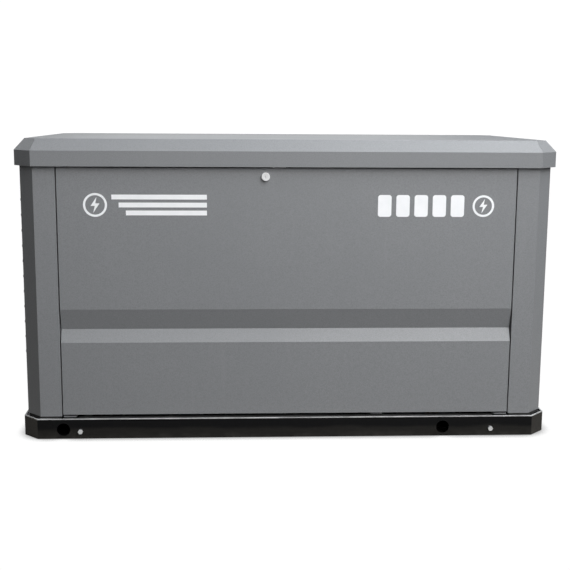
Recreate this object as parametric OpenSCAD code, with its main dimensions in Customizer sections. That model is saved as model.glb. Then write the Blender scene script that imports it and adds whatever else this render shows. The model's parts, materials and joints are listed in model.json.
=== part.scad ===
// Home standby generator: an air-cooled V-twin gas engine and alternator in a
// folded sheet-metal enclosure. Millimetres, +Z up, front towards -Y, origin on
// the ground at the middle of the base.

/* [Base] */
// Length of the base tray along X
base_w = 1238; // [1230:1:1244]
// Depth of the base tray along Y
base_d = 656; // [650:1:660]
// Height of the tray's upstand
base_h = 48; // [46:1:50]
// Corner chamfer of the tray
base_c = 36; // [32:1:40]
// Thickness of the tray's steel
base_t = 3; // [2:0.5:3]

/* [Body] */
// Length of the body along X
body_w = 1222; // [1216:1:1224]
// Depth of the body along Y
body_d = 640; // [636:1:642]
// Corner chamfer of the body
body_c = 35; // [30:1:38]
// Height of the panels' lower edge
body_z0 = 52; // [52:1:53]
// Height of the panels' upper edge
body_z1 = 664; // [660:1:665]
// Thickness of the panels' sheet
sheet = 2; // [1.5:0.5:2]

/* [Lid] */
// How far the lid's skirt stands out from the body
lid_over = 11; // [10:0.5:12]
// Corner chamfer of the lid
lid_c = 44; // [40:1:48]
// Height of the skirt's lower edge
lid_z0 = 634; // [633:1:636]
// Height where the skirt meets the slope
lid_z1 = 669; // [667:1:671]
// Height of the flat top
lid_z2 = 695; // [692:1:698]
// How far the slope leans in
lid_in = 23; // [20:1:26]
// Fall of the flat top from its front fold to its back fold, for rain
lid_fall = 4; // [2:0.5:5]

/* [Front panel] */
// Width of the opening between the side panels
door_open_w = 1053; // [1050:1:1056]
// Gap round the front panel
door_gap = 3; // [2.5:0.5:3.5]
// Height of the front panel's lower edge
door_z0 = 56; // [56:1:57]
// Height of the front panel's upper edge
door_z1 = 631; // [629:1:631]
// Depth of the pressed groove
groove_d = 12; // [8:1:12]
// Distance of the lock from the middle
lock_x = -52.5; // [-60:0.5:-45]
// Height of the lock
lock_z = 612; // [610:1:612]
// Radius of the lock's head
lock_r = 9.4; // [9:0.1:10.5]

/* [Engine and alternator] */
// Height of the crankshaft
crank_z = 240; // [238:1:242]
// Radius of the crankshaft
shaft_r = 20; // [18:1:20]
// Radius of the alternator's housing
alt_r = 138; // [134:1:140]

/* [Hidden] */
$fn = 48;

steel_grey = [0.44, 0.45, 0.46];
black_gloss = [0.05, 0.05, 0.05];
zinc = [0.72, 0.73, 0.74];
rubber = [0.08, 0.08, 0.08];
foam = [0.16, 0.16, 0.17];
cast = [0.60, 0.61, 0.62];
copper = [0.72, 0.40, 0.22];

root2 = sqrt(2);
hx = body_w / 2;
hy = body_d / 2;
open_x = door_open_w / 2;
door_x = open_x - door_gap;
lip_x = open_x - 20.5;
lip_y = -hy + 22;
pin_y = -hy + 12;
pin_z = door_z0 + 16;
groove_z = [228, 258, 306];
bolt_x = 483.6;
bolt_z = 17.4;
lift_x = [-523, 369];
lift_z = 22;
lift_r = 15.5;
anchor = [572, 282];
hinge_y = 337;
hinge_z = 632;
hinge_x = [-420, 0, 420];
rail_y = 110;
rail_z0 = 38;
rail_z1 = 58;
foot_z = 88;
bank_x = [95, 140];
exhaust_y = 232;
exhaust_z = 325;
muffler_x = -450;
outlet_y = 0;
gas_x = 470;
gas_z = 150;
conduit_x = 300;
face_y = -278;

// ---------- shapes ----------

// Outline of a rectangle with chamfered corners: half sizes and chamfer.
function octa(a, b, c) = [[-a + c, -b], [a - c, -b], [a, -b + c], [a, b - c],
    [a - c, b], [-a + c, b], [-a, b - c], [-a, -b + c]];

// The same outline moved inwards by s.
function octa_in(a, b, c, s) = octa(a - s, b - s, c - s * (2 - root2));

module prism(points, z0, z1) {
    translate([0, 0, z0]) linear_extrude(z1 - z0) polygon(points);
}

// Ring between an octagonal outline and the same outline moved in by w.
module octa_ring(a, b, c, w, z0, z1) {
    difference() {
        prism(octa(a, b, c), z0, z1);
        prism(octa_in(a, b, c, w), z0 - 1, z1 + 1);
    }
}

// Solid between two octagonal outlines at different heights.
module octa_frustum(low, z0, high, z1) {
    points = concat([for (p = low) [p[0], p[1], z0]], [for (p = high) [p[0], p[1], z1]]);
    walls = [for (i = [0:7]) [i, i + 8, (i + 1) % 8 + 8, (i + 1) % 8]];
    polyhedron(points, concat([[for (i = [0:7]) i]], [[for (i = [15:-1:8]) i]], walls));
}

// Box from one corner to the opposite one.
module block(p, q) {
    translate(p) cube(q - p);
}

// Rounded rectangle made of exact squares and circles, centred.
module round_rect(w, h, r) {
    square([w - 2 * r, h], center = true);
    square([w, h - 2 * r], center = true);
    for (x = [-1, 1], y = [-1, 1])
        translate([x * (w / 2 - r), y * (h / 2 - r)]) circle(r, $fn = 32);
}

// Cylinder along X, or along Y, from its start to its end.
module x_rod(x0, x1, r) {
    translate([x0, 0, 0]) rotate([0, 90, 0]) cylinder(h = x1 - x0, r = r);
}
module y_rod(y0, y1, r) {
    translate([0, y0, 0]) rotate([-90, 0, 0]) cylinder(h = y1 - y0, r = r);
}

// Tube along X.
module x_tube(x0, x1, r, bore) {
    difference() {
        x_rod(x0, x1, r);
        x_rod(x0 - 1, x1 + 1, bore);
    }
}

// Hex prism along Y, across flats af.
module y_hex(y0, y1, af) {
    translate([0, y0, 0]) rotate([-90, 0, 0]) cylinder(h = y1 - y0, r = af / sqrt(3), $fn = 6);
}

// Profile given as [y, z] points, extruded along X.
module yz_extrude(x0, x1) {
    translate([x0, 0, 0]) rotate([90, 0, 90]) linear_extrude(x1 - x0) children();
}

// Points of a smooth curve through the given ones, n steps a span.
function curve(a, b, c, d, t) = 0.5 * (2 * b + (c - a) * t + (2 * a - 5 * b + 4 * c - d) * t * t
    + (3 * b - 3 * c + d - a) * t * t * t);
function spline(p, n) = let (last = len(p) - 1)
    [for (i = [0:last - 1], k = [0:n - (i == last - 1 ? 0 : 1)])
        curve(p[max(i - 1, 0)], p[i], p[i + 1], p[min(i + 2, last)], k / n)];

function unit(v) = v / norm(v);
function tangent(p, i) = unit(p[min(i + 1, len(p) - 1)] - p[max(i - 1, 0)]);

// A frame carried along the curve without twisting it.
function carried(p, i, last) = let (t = tangent(p, i), n = last - t * (last * t))
    i == len(p) - 1 ? [unit(n)] : concat([unit(n)], carried(p, i + 1, n));

// Round tube swept along a curve of points.
module swept(path, r, sides) {
    seed = abs(tangent(path, 0)[2]) < 0.9 ? [0, 0, 1] : [1, 0, 0];
    normals = carried(path, 0, seed);
    points = [for (i = [0:len(path) - 1], k = [0:sides - 1])
        let (t = tangent(path, i), n = normals[i], b = cross(t, n), a = 360 * k / sides)
        path[i] + r * (n * cos(a) + b * sin(a))];
    last = (len(path) - 1) * sides;
    skin = [for (i = [0:len(path) - 2], k = [0:sides - 1], half = [0, 1])
        let (a = i * sides + k, b = i * sides + (k + 1) % sides)
        half == 0 ? [a, a + sides, b] : [b, a + sides, b + sides]];
    ends = [[for (k = [0:sides - 1]) k], [for (k = [sides - 1:-1:0]) last + k]];
    polyhedron(points, concat(skin, ends));
}

// One pressed louver, opening downwards: the hood and the space inside it.
// The skin is at y from 0 to the sheet's thickness, and the hood stands out to -y.
louver_h = 22;
louver_d = 8;
module louver_hood(w) {
    yz_extrude(-w / 2, w / 2) polygon([[0, louver_h], [-louver_d, 5], [-louver_d, 0], [0, 0]]);
}
module louver_void(w) {
    yz_extrude(-w / 2 + 2, w / 2 - 2)
        polygon([[sheet + 1, 17], [0, 17], [2 - louver_d, 4], [2 - louver_d, -1], [sheet + 1, -1]]);
}
module louver_bank(columns, rows, pitch, w, z0) {
    for (c = columns, r = [0:rows - 1])
        translate([c, 0, z0 + r * pitch])
            if ($cut) louver_void(w);
            else louver_hood(w);
}

// ---------- base ----------

module base_tray() {
    a = base_w / 2;
    b = base_d / 2;
    color(black_gloss) difference() {
        union() {
            difference() {
                prism(octa(a, b, base_c), 0, base_h);
                prism(octa_in(a, b, base_c, base_t), base_t, base_h + 1);
            }
            octa_ring(a - base_t, b - base_t, base_c - base_t * (2 - root2), 30, 42, 45);
        }
        for (x = lift_x) translate([x, 0, lift_z]) y_rod(-b - 1, b + 1, lift_r);
        for (x = [-bolt_x, bolt_x]) translate([x, 0, bolt_z]) y_rod(-b - 1, b + 1, 3.4);
        for (x = [-anchor[0], anchor[0]], y = [-anchor[1], anchor[1]])
            translate([x, y, -1]) cylinder(h = base_t + 2, r = 6.5);
        for (x = [-150, 150]) block([x - 50, -40, -1], [x + 50, 40, base_t + 1]);
    }
}

// Welded frame: two hollow cross members and the two channels that carry the engine.
module cross_member() {
    y1 = base_d / 2 - base_t;
    difference() {
        block([-20, -y1, base_t], [20, y1, rail_z0]);
        block([-17, -y1 + 3, base_t - 1], [17, y1 - 3, rail_z0 - 3]);
        translate([0, 0, bolt_z]) y_rod(-y1 - 1, y1 + 1, 3.4);
    }
}
module base_frame() {
    color(black_gloss) {
        for (x = [-bolt_x, bolt_x]) translate([x, 0, 0]) cross_member();
        for (y = [-rail_y, rail_y]) translate([0, y, 0]) difference() {
            block([-505, -25, rail_z0], [505, 25, rail_z1]);
            block([-506, -22, rail_z0 - 1], [506, 22, rail_z1 - 3]);
        }
    }
}

// Hex bolt through the tray's wall, pointing inwards along +y, with its nut.
module tray_bolt() {
    y_rod(-0.8, 0, 4.9);
    y_hex(-4.8, -0.8, 10);
    y_rod(0, 18, 2.95);
}
module tray_nut() {
    difference() {
        y_hex(2 * base_t, 11, 10);
        y_rod(0, 20, 3.05);
    }
}
module base_bolts() {
    color(zinc) for (x = [-bolt_x, bolt_x], side = [0, 180])
        rotate([0, 0, side]) translate([x, -base_d / 2, bolt_z]) {
            tray_bolt();
            tray_nut();
        }
}

// ---------- enclosure ----------

// Plan of the left side panel's folded sheet, from the front lip round to the rear lip.
module side_plan() {
    k = sheet * tan(22.5);
    outer = [[-lip_x, lip_y], [-open_x, lip_y], [-open_x, -hy], [-hx + body_c, -hy], [-hx, -hy + body_c],
        [-hx, hy - body_c], [-hx + body_c, hy], [-open_x, hy], [-open_x, hy - sheet],
        [-open_x + 21, hy - sheet]];
    inner = [[-open_x + 21, hy - 2 * sheet], [-open_x - sheet, hy - 2 * sheet], [-open_x - sheet, hy - sheet],
        [-hx + body_c + k, hy - sheet], [-hx + sheet, hy - body_c - k], [-hx + sheet, -hy + body_c + k],
        [-hx + body_c + k, -hy + sheet], [-open_x - sheet, -hy + sheet], [-open_x - sheet, lip_y + sheet],
        [-lip_x, lip_y + sheet]];
    polygon(concat(outer, inner));
}

module side_flange(w, z0, x1) {
    intersection() {
        octa_ring(hx - sheet, hy - sheet, body_c - sheet * (2 - root2), w, z0, z0 + sheet);
        block([-hx, -hy, z0 - 1], [x1, hy, z0 + sheet + 1]);
    }
}

module side_louvers() {
    translate([-hx, 0, 0]) rotate([0, 0, -90]) louver_bank([-150, 150], 11, 36, 200, 190);
}

// The left panel; the right one is its mirror image, but for the exhaust hole.
module side_panel() {
    difference() {
        union() {
            translate([0, 0, body_z0]) linear_extrude(body_z1 - body_z0) side_plan();
            side_flange(36, body_z1 - sheet, -open_x - sheet);
            side_flange(20, body_z0, -open_x - sheet);
            side_louvers($cut = false);
        }
        side_louvers($cut = true);
        block([-open_x + 0.01, -hy, body_z0 - 1], [-lip_x + 1, -hy + 40, pin_z + 23]);
    }
}
module left_side_panel() {
    color(steel_grey) difference() {
        side_panel();
        translate([0, outlet_y, exhaust_z]) x_rod(-hx - 20, -hx + 20, 27);
    }
}
module right_side_panel() {
    color(steel_grey) mirror([1, 0, 0]) side_panel();
}

screw_z = [80, 210, 340, 470, 600];
module rear_panel() {
    x1 = open_x - 1;
    color(steel_grey) difference() {
        union() {
            block([-x1, hy - sheet, body_z0], [x1, hy, body_z1]);
            block([-x1 + 24, hy - 38, body_z1 - sheet], [x1 - 24, hy - sheet, body_z1]);
            block([-x1 + 24, hy - 22, body_z0], [x1 - 24, hy - sheet, body_z0 + sheet]);
            translate([0, hy, 0]) rotate([0, 0, 180]) louver_bank([-150, 150], 7, 36, 220, 260, $cut = false);
        }
        translate([0, hy, 0]) rotate([0, 0, 180]) louver_bank([-150, 150], 7, 36, 220, 260, $cut = true);
        translate([gas_x, 0, gas_z]) y_rod(hy - 10, hy + 10, 16);
        translate([conduit_x, 0, gas_z]) y_rod(hy - 10, hy + 10, 21);
        for (s = [-1, 1], z = screw_z) translate([s * (open_x - 11), 0, z]) y_rod(hy - 5, hy + 5, 3.3);
    }
}

// Flange-head screws that hold the rear panel on the side panels' rear lips.
module rear_panel_screws() {
    color(zinc) for (s = [-1, 1], z = screw_z) translate([s * (open_x - 11), hy, z]) {
        y_rod(0, 1.4, 7);
        y_hex(1.4, 5.4, 10);
        y_rod(-sheet, 0, 3.1);
    }
}

// Channel across the top of the front opening, notched where the lid's keeper drops in.
rail_y0 = lip_y + sheet;
module front_top_rail() {
    color(steel_grey) difference() {
        union() {
            block([-door_x, rail_y0, 624], [door_x, rail_y0 + sheet, body_z1]);
            block([-door_x, rail_y0, body_z1 - sheet], [door_x, rail_y0 + 24, body_z1]);
            block([-door_x, rail_y0 + 22, body_z1 - 16], [door_x, rail_y0 + 24, body_z1]);
        }
        block([keeper_x[0] - 6, rail_y0 - 1, 600], [keeper_x[1] + 6, rail_y0 + 20, body_z1 + 1]);
    }
}

// Rubber strips: under the panels, round the front opening and along the top edges.
module weather_seals() {
    color(rubber) {
        difference() {
            octa_ring(hx - sheet, hy - sheet, body_c - sheet * (2 - root2), 12, 45, body_z0);
            block([-open_x - 1, -hy - 1, 48.5], [open_x + 1, -hy + 40, body_z0 + 1]);
            for (s = [-1, 1]) translate([s * 509, 0, 0]) block([-20, -hy - 1, 40], [20, -hy + 40, 60]);
        }
        for (s = [-1, 1]) translate([s * (lip_x + 8), lip_y, 0])
            block([-6, -3.5, pin_z + 26], [6, 0, 623]);
        difference() {
            block([-lip_x + 2, lip_y - 3.5, 624.5], [lip_x - 2, rail_y0, 632]);
            block([keeper_x[0] - 6, lip_y - 5, 620], [keeper_x[1] + 6, rail_y0 + 1, 640]);
        }
        difference() {
            octa_ring(hx - 24, hy - 24, body_c - 24 * (2 - root2), 13, body_z1, body_z1 + 13);
            block([keeper_x[0] - 6, -hy, body_z1 - 1], [keeper_x[1] + 6, -hy + 60, body_z1 + 20]);
        }
    }
}

// Brackets with open-topped slots that carry the front panel's pins.
module cradle() {
    difference() {
        union() {
            block([-open_x + 3.5, -hy + 2, 49.5], [-494, -281, 51.5]);
            block([-open_x + 3.5, -300, 45], [-494, -281, 49.5]);
            block([-498, -287, 51.5], [-494, -281, pin_z + 8]);
            block([-498, pin_y, pin_z - 8], [-494, -287, pin_z + 8]);
            translate([0, pin_y, pin_z]) x_rod(-498, -494, 8);
        }
        translate([0, pin_y, pin_z]) x_rod(-500, -490, 3.05);
        block([-500, pin_y - 3.05, pin_z], [-490, pin_y + 3.05, pin_z + 20]);
    }
}
module front_panel_cradles() {
    color(steel_grey) {
        cradle();
        mirror([1, 0, 0]) cradle();
    }
}

// ---------- front panel and lock ----------

door_line = [[-hy, door_z0], [-hy, groove_z[0]], [-hy + groove_d, groove_z[1]], [-hy, groove_z[2]],
    [-hy, door_z1]];
door_back = -hy + 18;

module front_panel() {
    color(steel_grey) difference() {
        union() {
            yz_extrude(-door_x, door_x)
                polygon(concat(door_line, [for (i = [4:-1:0]) door_line[i] + [sheet, 0]]));
            block([-door_x, -hy, door_z0], [door_x, door_back, door_z0 + sheet]);
            block([-door_x, -hy, door_z1 - sheet], [door_x, door_back, door_z1]);
            for (x = [-door_x, door_x - sheet]) yz_extrude(x, x + sheet)
                polygon(concat(door_line, [[door_back, door_z1], [door_back, door_z0]]));
        }
        translate([lock_x, 0, lock_z]) y_rod(-hy - 5, -hy + 5, 8.1);
        for (s = [-1, 1]) translate([s * 496, 0, 0])
            block([-6, -hy + sheet, door_z0 - 1], [6, door_back + 1, door_z0 + sheet + 1]);
    }
}

module front_panel_pins() {
    color(zinc) for (s = [0, 1]) mirror([s, 0, 0])
        translate([0, pin_y, pin_z]) x_rod(-door_x + sheet, -488, 3);
}

module front_panel_foam() {
    color(foam) {
        block([-500, -hy + sheet, 320], [500, -hy + 17, 585]);
        block([-480, -hy + sheet, 100], [480, -hy + 17, 216]);
    }
}

// Plain signs in white film: a lightning bolt in a ring, bars and squares.
module bolt_shape(h) {
    polygon([[0.10, 0.5], [-0.28, -0.06], [-0.02, -0.06], [-0.12, -0.5], [0.28, 0.10], [0.02, 0.10]] * h);
}
module film(x, z) {
    translate([x, -hy, z]) rotate([90, 0, 0]) linear_extrude(0.4) children();
}
module front_decals() {
    color([0.93, 0.94, 0.95]) {
        film(-438, 547) difference() { circle(27); circle(22); }
        film(-438, 547) bolt_shape(36);
        for (i = [0:2]) film(-293.5 + 8 * i, 565 - 18 * i) square([215 - 16 * i, 11], center = true);
        for (i = [0:4]) film(220 + 42 * i, 546) round_rect(31, 50, 6);
        film(448, 546) difference() { circle(25); circle(20); }
        film(448, 546) bolt_shape(33);
    }
}

module lock_housing() {
    color(zinc) translate([lock_x, 0, lock_z]) difference() {
        union() {
            y_rod(-hy - 6, -hy, lock_r);
            y_rod(-hy, -294, 8);
        }
        y_rod(-hy - 7, -290, 6);
    }
}
module lock_nut() {
    color(zinc) translate([lock_x, 0, lock_z]) difference() {
        y_hex(-hy + sheet, -hy + 7, 22);
        y_rod(-hy, -hy + 9, 8.05);
    }
}
module lock_plug() {
    color(zinc) translate([lock_x, 0, lock_z]) difference() {
        union() {
            y_rod(-hy - 5.4, -291, 5.95);
            y_rod(-291, -287.5, 4);
        }
        block([-0.7, -hy - 7, -3.2], [0.7, -hy + 14, 3.2]);
    }
}
module lock_cam() {
    color(zinc) translate([lock_x, 0, lock_z]) difference() {
        union() {
            y_rod(-291, -288, 9);
            block([-38, -291, -8], [0, -288, 8]);
        }
        y_rod(-292, -287, 4);
    }
}

// ---------- lid ----------

keeper_x = [-36, -6];
keeper_y = -297;

lid_x = hx + lid_over;
lid_y = hy + lid_over;
slope_t = sheet * norm([lid_in, lid_z2 - lid_z1]) / (lid_z2 - lid_z1);

function slope_in(z) = lid_in * (z - lid_z1) / (lid_z2 - lid_z1);

// Everything over the lid's top plane, or over the plane that lies `under` below it.
module above_top(under) {
    translate([0, lid_in - lid_y, lid_z2 - under]) rotate([-atan(lid_fall / (2 * (lid_y - lid_in))), 0, 0])
        block([-lid_x - 1, -40, 0], [lid_x + 1, 2 * lid_y, 40]);
}

module lid() {
    z_low = lid_z1 - (slope_t - sheet) * (lid_z2 - lid_z1) / lid_in;
    color(steel_grey) difference() {
        union() {
            prism(octa(lid_x, lid_y, lid_c), lid_z0, lid_z1);
            octa_frustum(octa(lid_x, lid_y, lid_c), lid_z1, octa_in(lid_x, lid_y, lid_c, lid_in), lid_z2);
        }
        above_top(0);
        prism(octa_in(lid_x, lid_y, lid_c, sheet), lid_z0 + sheet, z_low);
        prism(octa_in(lid_x, lid_y, lid_c, 8), lid_z0 - 1, lid_z0 + sheet + 1);
        difference() {
            octa_frustum(octa_in(lid_x, lid_y, lid_c, sheet), z_low,
                octa_in(lid_x, lid_y, lid_c, slope_in(lid_z2 - sheet) + slope_t), lid_z2 - sheet);
            above_top(sheet);
        }
    }
}

module lid_foam() {
    color(foam) difference() {
        prism(octa(590, 303, 28), 677.5, lid_z2 - sheet);
        above_top(sheet);
        block([keeper_x[0] - 4, -310, 670], [keeper_x[1] + 4, -290, lid_z2 - sheet - 1]);
    }
}

// Bracket hung from the lid: the cam turns in behind its plate and over its toe.
module lid_keeper() {
    color(zinc) {
        block([keeper_x[0], -318.6, 678], [keeper_x[1], keeper_y, 680]);
        block([keeper_x[0], keeper_y, 596], [keeper_x[1], keeper_y + 2, 680]);
        block([keeper_x[0], keeper_y, 596], [keeper_x[1], keeper_y + 17, 598]);
    }
}

// Butt hinges on the back: axis behind the body, level with the skirt's lower edge.
module hinge_lid_leaves() {
    color(steel_grey) for (x = hinge_x) translate([x, 0, 0]) difference() {
        union() {
            block([-40, lid_y, 636.5], [40, lid_y + 2.5, 666]);
            for (s = [-1, 1]) translate([s * 25, 0, 0]) {
                translate([0, hinge_y, hinge_z]) x_rod(-14.5, 14.5, 5);
                yz_extrude(-14.5, 14.5) polygon([[lid_y, 636.5], [lid_y + 2.5, 640],
                    [hinge_y + 3, hinge_z + 4], [hinge_y, hinge_z], [hinge_y - 4, hinge_z + 3]]);
            }
        }
        translate([0, hinge_y, hinge_z]) x_rod(-50, 50, 2.55);
    }
}
module hinge_body_leaves() {
    color(steel_grey) for (x = hinge_x) translate([x, 0, 0]) difference() {
        union() {
            block([-40, hy, 590], [40, hy + 2.5, 629]);
            translate([0, hinge_y, hinge_z]) x_rod(-10, 10, 5);
            block([-10, hy, 626.5], [10, hinge_y, 629]);
        }
        translate([0, hinge_y, hinge_z]) x_rod(-50, 50, 2.55);
        for (s = [-1, 1]) translate([s * 25, 0, 0]) {
            block([-15, hinge_y - 8, 620], [15, hinge_y + 10, 640]);
            translate([0, 0, 603]) y_rod(hy - 1, hy + 4, 3.3);
        }
    }
}
module hinge_pins() {
    color(zinc) for (x = hinge_x) translate([x, hinge_y, hinge_z]) {
        x_rod(-41, 41, 2.5);
        for (s = [0, 1]) mirror([s, 0, 0]) x_rod(40, 42, 4);
    }
}

// ---------- inside walls ----------

bulk_x = [-301, 359];
module bulkhead(x, hole) {
    difference() {
        union() {
            block([x, -288, rail_z1 + 2], [x + sheet, 300, 640]);
            block([x, -288, 638], [x + 20, 300, 640]);
            for (y = [-rail_y, rail_y]) block([x, y - 25, rail_z1], [x + 20, y + 25, rail_z1 + 2]);
        }
        translate([0, 0, crank_z]) x_rod(x - 1, x + sheet + 1, hole);
        for (s = [-1, 1]) if (x < 0) translate([0, s * exhaust_y, exhaust_z]) x_rod(x - 1, x + sheet + 1, 24);
        if (x > 0) {
            block([x - 1, 100, 455], [x + sheet + 1, 160, 515]);
            block([x - 1, -164, 114], [x + sheet + 1, -118, 170]);
        }
    }
}
module bulkheads() {
    color([0.55, 0.56, 0.57]) {
        bulkhead(bulk_x[0], 80);
        bulkhead(bulk_x[1], 105);
    }
}

mount_x = [-190, 40, 200];
module rubber_mounts() {
    color(rubber) for (x = mount_x, y = [-rail_y, rail_y])
        translate([x, y, rail_z1]) cylinder(h = foot_z - rail_z1, r = 22);
}

// ---------- engine ----------

// Puts children on a cylinder bank: local +z runs out along the cylinder, local +y faces the valley.
module on_bank(i) {
    translate([bank_x[i], 0, crank_z])
        if (i == 0) rotate([45, 0, 0]) children();
        else mirror([0, 1, 0]) rotate([45, 0, 0]) children();
}

module crankcase() {
    deck = 105;
    w = 65;
    s = [for (q = [-1, 1]) [(deck - q * w) / root2, (deck + q * w) / root2]];
    half = [[110, 100], [130, 150], [130, 225], [s[0][0], crank_z + s[0][1]], [s[1][0], crank_z + s[1][1]]];
    color(cast) difference() {
        union() {
            yz_extrude(0, 235) polygon(concat(half, [for (i = [4:-1:0]) [-half[i][0], half[i][1]]]));
            block([15, -140, foot_z], [225, 140, 101]);
            for (z = [130:24:202]) block([12, -134, z], [223, 134, z + 4]);
            translate([0, 0, crank_z]) x_rod(-8, 1, 60);
        }
        translate([0, 0, crank_z]) x_rod(-20, 240, 24);
        translate([0, 0, crank_z]) x_rod(10, 225, 95);
    }
}

module cylinders() {
    color(cast) for (i = [0, 1]) on_bank(i) {
        difference() {
            union() {
                translate([0, 0, 105]) cylinder(h = 95, r = 53);
                for (z = [112:10:192]) translate([0, 0, z]) linear_extrude(3) round_rect(124, 124, 14);
            }
            translate([0, 0, 104]) cylinder(h = 97, r = 42);
        }
    }
}

module cylinder_heads() {
    color(cast) for (i = [0, 1]) on_bank(i) {
        difference() {
            union() {
                translate([0, 0, 200]) linear_extrude(50) round_rect(112, 104, 12);
                for (z = [203:9:239]) translate([0, 0, z]) linear_extrude(3.5) round_rect(136, 124, 14);
                translate([0, -60, 225]) rotate([90, 0, 0]) linear_extrude(4) round_rect(60, 44, 12);
                translate([0, 60, 225]) rotate([-90, 0, 0]) linear_extrude(4) round_rect(60, 44, 12);
            }
            translate([0, 70, 225]) rotate([90, 0, 0]) cylinder(h = 40, r = 14);
            translate([0, -30, 225]) rotate([90, 0, 0]) cylinder(h = 40, r = 14);
            translate([74, 0, 222]) rotate([0, -90, 0]) cylinder(h = 20, r = 12);
        }
    }
}

module rocker_covers() {
    color([0.10, 0.10, 0.11]) for (i = [0, 1]) on_bank(i) {
        translate([0, 0, 250]) linear_extrude(4) round_rect(118, 108, 12);
        translate([0, 0, 254]) linear_extrude(24) round_rect(104, 94, 14);
        translate([0, 0, 278]) linear_extrude(5) round_rect(88, 78, 12);
        for (x = [-53, 53], y = [-30, 30]) translate([x, y, 254]) cylinder(h = 6, r = 4.5);
    }
}

module spark_plugs() {
    color([0.12, 0.12, 0.12]) for (i = [0, 1]) on_bank(i) translate([0, 0, 222]) {
        x_rod(54.5, 74, 9);
        x_rod(74, 96, 11);
        translate([88, 0, 0]) cylinder(h = 26, r = 7);
    }
}

port_y = 116.7;
port_z = crank_z + 201.5;
mixer = [118, 0];
module intake_manifold() {
    color(cast) difference() {
        union() {
            for (i = [0, 1]) on_bank(i) {
                translate([0, 64.2, 225]) rotate([-90, 0, 0]) linear_extrude(5) round_rect(58, 42, 12);
                translate([0, 69, 225]) rotate([-90, 0, 0]) cylinder(h = 30, r = 19);
            }
            translate([mixer[0] - 50, -105, 455]) cube([100, 210, 26]);
            translate([mixer[0], mixer[1], 480]) cylinder(h = 38, r = 30);
            translate([mixer[0], 0, 500]) y_rod(28, 62, 13);
        }
        translate([mixer[0], mixer[1], 470]) cylinder(h = 60, r = 20);
        translate([mixer[0] - 60, 0, 499]) rotate([0, 90, 0]) cylinder(h = 50, r = 3.05);
    }
}
module throttle_lever() {
    color(zinc) translate([mixer[0], 0, 499]) {
        x_rod(-44, -12, 3);
        difference() {
            block([-42, -16, -4], [-39, 0, 4]);
            translate([0, -11.5, 0]) x_rod(-45, -35, 1.6);
        }
        x_rod(-42, -39, 6);
    }
}

module air_filter_box() {
    color([0.09, 0.09, 0.10]) {
        translate([mixer[0], 0, 518]) linear_extrude(48) round_rect(200, 168, 20);
        translate([mixer[0], 0, 566.5]) linear_extrude(6) round_rect(208, 176, 22);
        translate([mixer[0], 0, 572.5]) linear_extrude(22) round_rect(188, 156, 18);
        translate([mixer[0], 0, 594.5]) cylinder(h = 12, r = 16);
        translate([mixer[0] + 40, 0, 540]) x_rod(59.9, 80, 26);
    }
}

module crankshaft() {
    color(zinc) translate([0, 0, crank_z]) {
        x_rod(-262, 294, shaft_r);
        rotate([0, 90, 0]) translate([0, 0, 294]) cylinder(h = 12, r = 17, $fn = 6);
    }
}

module flywheel() {
    color(cast) translate([0, 0, crank_z]) difference() {
        union() {
            x_rod(250, 272, 112);
            x_rod(272, 290, 40);
            for (a = [0:20:340]) rotate([a, 0, 0]) block([271, -2, 62], [290, 2, 110]);
            x_rod(256, 266, 118);
        }
        x_rod(240, 300, shaft_r + 0.02);
    }
}

module shroud_plan(s) {
    circle(135 - s);
    for (q = [-1, 1]) rotate([0, 0, q * 45]) translate([-70 + s, 0]) square([140 - 2 * s, 262 - s]);
}
module blower_housing() {
    color([0.10, 0.10, 0.11]) translate([0, 0, crank_z]) {
        difference() {
            translate([238, 0, 0]) rotate([90, 0, 90]) linear_extrude(72) shroud_plan(0);
            translate([240, 0, 0]) rotate([90, 0, 90]) linear_extrude(68) shroud_plan(2);
            x_rod(230, 245, 30);
            for (q = [-1, 1]) rotate([q * 45, 0, 0]) block([230, -55, 118], [245, 55, 250]);
            x_rod(300, 320, 78);
        }
        difference() {
            x_rod(310.2, 313, 84);
            for (r = [24:18:60]) difference() {
                x_tube(300, 320, r + 6, r - 6);
                for (a = [0:45:135]) rotate([a, 0, 0]) block([299, -2, -90], [321, 2, 90]);
            }
        }
    }
}

module oil_filter() {
    color([0.75, 0.55, 0.08]) translate([75, 0, 180]) {
        y_rod(-150, -134.2, 34);
        y_rod(-225, -150, 37);
        y_rod(-230, -225, 30);
    }
}

stick_x = 8;
stick_y = -154;
module oil_dipstick() {
    color([0.85, 0.65, 0.05]) translate([stick_x, stick_y, 0]) {
        difference() {
            translate([0, 0, 330]) cylinder(h = 16, r = 14);
            for (a = [0:30:330]) rotate([0, 0, a])
                translate([15.4, 0, 329]) cylinder(h = 18, r = 2.4);
        }
        translate([0, 0, 346]) linear_extrude(10) square([6, 20], center = true);
        translate([0, 0, 150]) cylinder(h = 180, r = 2.5);
    }
}

module starter_motor() {
    color([0.13, 0.13, 0.14]) {
        translate([0, -176, 160]) {
            x_rod(125, 225, 36);
            x_rod(225, 234, 40);
            x_rod(119, 125, 30);
        }
        translate([0, -154, 215]) x_rod(135, 215, 19);
        difference() {
            translate([stick_x, stick_y, 135]) cylinder(h = 194, r = 9);
            translate([stick_x, stick_y, 140]) cylinder(h = 200, r = 5);
        }
        block([stick_x - 6, stick_y + 8, 150], [stick_x + 3, -130.2, 162]);
    }
}

// ---------- exhaust ----------

// From a head's exhaust port down, back along the side and round into the end of the muffler.
function exhaust_path(i) = let (q = i == 0 ? -1 : 1, x0 = bank_x[i], y0 = q * exhaust_y)
    spline([[x0, q * 206.9, 351.3], [x0, q * 216.8, 341.4], [x0 - 18, q * 228, 329],
        [x0 - 60, y0, exhaust_z], [-150, y0, exhaust_z], [-390, y0, exhaust_z],
        [muffler_x + 14, q * 226, exhaust_z], [muffler_x, q * 211, exhaust_z],
        [muffler_x, q * 198, exhaust_z]], 4);

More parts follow.
